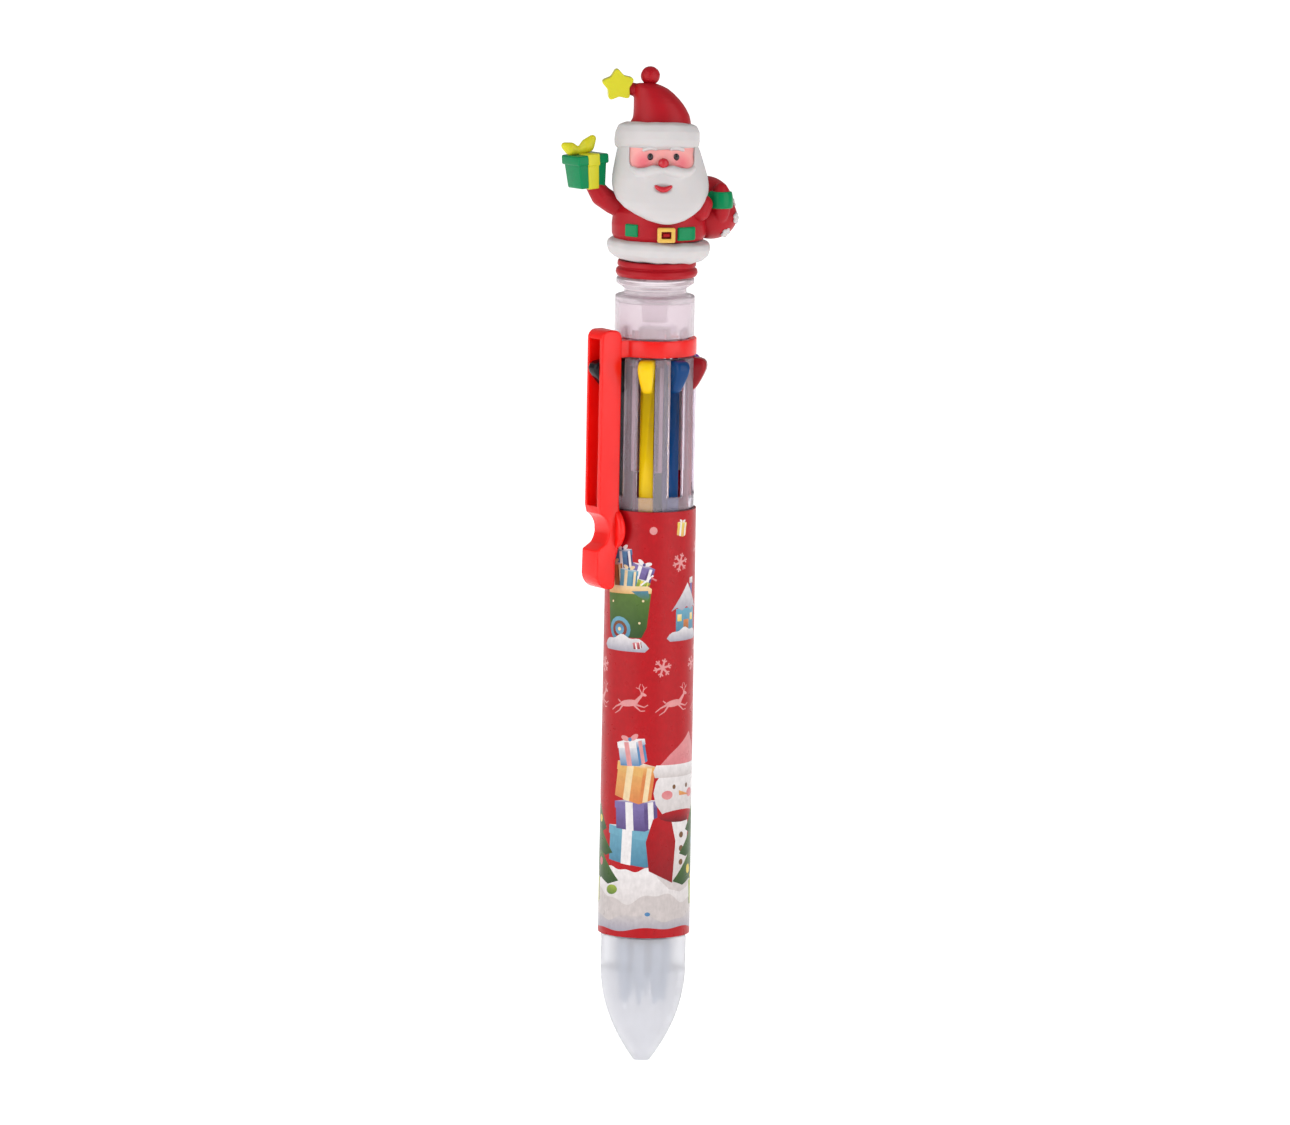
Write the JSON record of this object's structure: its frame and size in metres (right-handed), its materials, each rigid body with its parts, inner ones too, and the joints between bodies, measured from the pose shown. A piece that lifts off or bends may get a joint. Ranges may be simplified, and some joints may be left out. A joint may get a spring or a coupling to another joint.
{
  "type": "multicolour click pen",
  "caption": "Slim retractable ballpoint with coloured sliders in a clear slotted window, a red pocket clip, a printed sleeve, a frosted tip and a soft moulded holiday figure on top",
  "frame": {"origin": "on the pen's axis, at the flat writing end of the nose", "axes": "+Z along the pen from the writing end to the figure; -Y is the front that the figure faces, and the clip is to the front left"},
  "size_m": [0.0307, 0.0191, 0.1742],
  "materials": {
    "clear_plastic": "clear, gloss",
    "printed_film": "printed, gloss",
    "frosted_plastic": "frosted",
    "red_plastic": "gloss",
    "milky_plastic": "translucent, gloss",
    "core_plastic": "translucent",
    "steel": "plain",
    "tube_plastic": "translucent",
    "black_plastic": "gloss",
    "yellow_plastic": "gloss",
    "blue_plastic": "gloss",
    "red_button_plastic": "gloss",
    "purple_plastic": "gloss",
    "green_plastic": "gloss",
    "pink_plastic": "gloss",
    "orange_plastic": "gloss",
    "soft_red": "soft moulded, satin",
    "soft_white": "soft moulded, satin",
    "soft_green": "soft moulded, satin",
    "soft_yellow": "soft moulded, satin",
    "soft_gold": "soft moulded, satin",
    "soft_skin": "soft moulded, satin"
  },
  "bodies": {
    "pen_body": {"barrel": "clear_plastic", "printed_sleeve": "printed_film", "nose_cone": "frosted_plastic", "clip": "red_plastic", "top_cap": "milky_plastic", "topper_plug": "milky_plastic", "guide_core": "core_plastic", "spring_seat": "core_plastic", "figure_base": "soft_red", "coat_hem": "soft_white", "torso": "soft_red", "belt_panel_left": "soft_green", "belt_panel_right": "soft_green", "buckle": "soft_gold", "head": "soft_white", "face": "soft_skin", "figure_nose": "soft_red", "mouth": "soft_red", "hat_brim": "soft_white", "hat": "soft_red", "pompom": "soft_red", "star": "soft_yellow", "raised_arm": "soft_red", "gift_box": "soft_green", "gift_ribbon": "soft_yellow", "sack": "soft_red", "carrying_arm": "soft_red", "spring_black": "steel", "spring_yellow": "steel", "spring_blue": "steel", "spring_red": "steel", "spring_purple": "steel", "spring_green": "steel", "spring_pink": "steel", "spring_orange": "steel"},
    "black_slide": {"slider_black": "black_plastic"},
    "black_refill": {"refill_tube_black": "tube_plastic", "refill_tip_black": "steel"},
    "yellow_slide": {"slider_yellow": "yellow_plastic"},
    "yellow_refill": {"refill_tube_yellow": "tube_plastic", "refill_tip_yellow": "steel"},
    "blue_slide": {"slider_blue": "blue_plastic"},
    "blue_refill": {"refill_tube_blue": "tube_plastic", "refill_tip_blue": "steel"},
    "red_slide": {"slider_red": "red_button_plastic"},
    "red_refill": {"refill_tube_red": "tube_plastic", "refill_tip_red": "steel"},
    "purple_slide": {"slider_purple": "purple_plastic"},
    "purple_refill": {"refill_tube_purple": "tube_plastic", "refill_tip_purple": "steel"},
    "green_slide": {"slider_green": "green_plastic"},
    "green_refill": {"refill_tube_green": "tube_plastic", "refill_tip_green": "steel"},
    "pink_slide": {"slider_pink": "pink_plastic"},
    "pink_refill": {"refill_tube_pink": "tube_plastic", "refill_tip_pink": "steel"},
    "orange_slide": {"slider_orange": "orange_plastic"},
    "orange_refill": {"refill_tube_orange": "tube_plastic", "refill_tip_orange": "steel"}
  },
  "joints": [
    {"name": "press_black", "type": "slide", "parent": "pen_body", "child": "black_slide", "axis": [0, 0, -1], "range_m": [0, 0.0128], "stiffness_N_per_m": 25, "springref_m": -0.012, "deforming": ["spring_black"]},
    {"name": "lean_black", "type": "hinge", "parent": "black_slide", "child": "black_refill", "pos_m": [-0.0035, -0.0025, 0.0932], "axis": [0.5807, -0.8141, 0], "range_deg": [0, 2.5], "deforming": ["refill_tube_black", "refill_tip_black"]},
    {"name": "press_yellow", "type": "slide", "parent": "pen_body", "child": "yellow_slide", "axis": [0, 0, -1], "range_m": [0, 0.0128], "stiffness_N_per_m": 25, "springref_m": -0.012, "deforming": ["spring_yellow"]},
    {"name": "lean_yellow", "type": "hinge", "parent": "yellow_slide", "child": "yellow_refill", "pos_m": [-0.00071, -0.00424, 0.0932], "axis": [0.9863, -0.165, 0], "range_deg": [0, 2.5], "deforming": ["refill_tube_yellow", "refill_tip_yellow"]},
    {"name": "press_blue", "type": "slide", "parent": "pen_body", "child": "blue_slide", "axis": [0, 0, -1], "range_m": [0, 0.0128], "stiffness_N_per_m": 25, "springref_m": -0.012, "deforming": ["spring_blue"]},
    {"name": "lean_blue", "type": "hinge", "parent": "blue_slide", "child": "blue_refill", "pos_m": [0.0025, -0.0035, 0.0932], "axis": [0.8141, 0.5807, 0], "range_deg": [0, 2.5], "deforming": ["refill_tube_blue", "refill_tip_blue"]},
    {"name": "press_red", "type": "slide", "parent": "pen_body", "child": "red_slide", "axis": [0, 0, -1], "range_m": [0, 0.0128], "stiffness_N_per_m": 25, "springref_m": -0.012, "deforming": ["spring_red"]},
    {"name": "lean_red", "type": "hinge", "parent": "red_slide", "child": "red_refill", "pos_m": [0.00424, -0.00071, 0.0932], "axis": [0.165, 0.9863, 0], "range_deg": [0, 2.5], "deforming": ["refill_tube_red", "refill_tip_red"]},
    {"name": "press_purple", "type": "slide", "parent": "pen_body", "child": "purple_slide", "axis": [0, 0, -1], "range_m": [0, 0.0128], "stiffness_N_per_m": 25, "springref_m": -0.012, "deforming": ["spring_purple"]},
    {"name": "lean_purple", "type": "hinge", "parent": "purple_slide", "child": "purple_refill", "pos_m": [0.0035, 0.0025, 0.0932], "axis": [-0.5807, 0.8141, 0], "range_deg": [0, 2.5], "deforming": ["refill_tube_purple", "refill_tip_purple"]},
    {"name": "press_green", "type": "slide", "parent": "pen_body", "child": "green_slide", "axis": [0, 0, -1], "range_m": [0, 0.0128], "stiffness_N_per_m": 25, "springref_m": -0.012, "deforming": ["spring_green"]},
    {"name": "lean_green", "type": "hinge", "parent": "green_slide", "child": "green_refill", "pos_m": [0.00071, 0.00424, 0.0932], "axis": [-0.9863, 0.165, 0], "range_deg": [0, 2.5], "deforming": ["refill_tube_green", "refill_tip_green"]},
    {"name": "press_pink", "type": "slide", "parent": "pen_body", "child": "pink_slide", "axis": [0, 0, -1], "range_m": [0, 0.0128], "stiffness_N_per_m": 25, "springref_m": -0.012, "deforming": ["spring_pink"]},
    {"name": "lean_pink", "type": "hinge", "parent": "pink_slide", "child": "pink_refill", "pos_m": [-0.0025, 0.0035, 0.0932], "axis": [-0.8141, -0.5807, 0], "range_deg": [0, 2.5], "deforming": ["refill_tube_pink", "refill_tip_pink"]},
    {"name": "press_orange", "type": "slide", "parent": "pen_body", "child": "orange_slide", "axis": [0, 0, -1], "range_m": [0, 0.0128], "stiffness_N_per_m": 25, "springref_m": -0.012, "deforming": ["spring_orange"]},
    {"name": "lean_orange", "type": "hinge", "parent": "orange_slide", "child": "orange_refill", "pos_m": [-0.00424, 0.00071, 0.0932], "axis": [-0.165, -0.9863, 0], "range_deg": [0, 2.5], "deforming": ["refill_tube_orange", "refill_tip_orange"]}
  ],
  "couplings": [
    {"joint": "lean_black", "follows": "press_black", "rad_per_m": 3.3984},
    {"joint": "lean_yellow", "follows": "press_yellow", "rad_per_m": 3.3984},
    {"joint": "lean_blue", "follows": "press_blue", "rad_per_m": 3.3984},
    {"joint": "lean_red", "follows": "press_red", "rad_per_m": 3.3984},
    {"joint": "lean_purple", "follows": "press_purple", "rad_per_m": 3.3984},
    {"joint": "lean_green", "follows": "press_green", "rad_per_m": 3.3984},
    {"joint": "lean_pink", "follows": "press_pink", "rad_per_m": 3.3984},
    {"joint": "lean_orange", "follows": "press_orange", "rad_per_m": 3.3984}
  ]
}
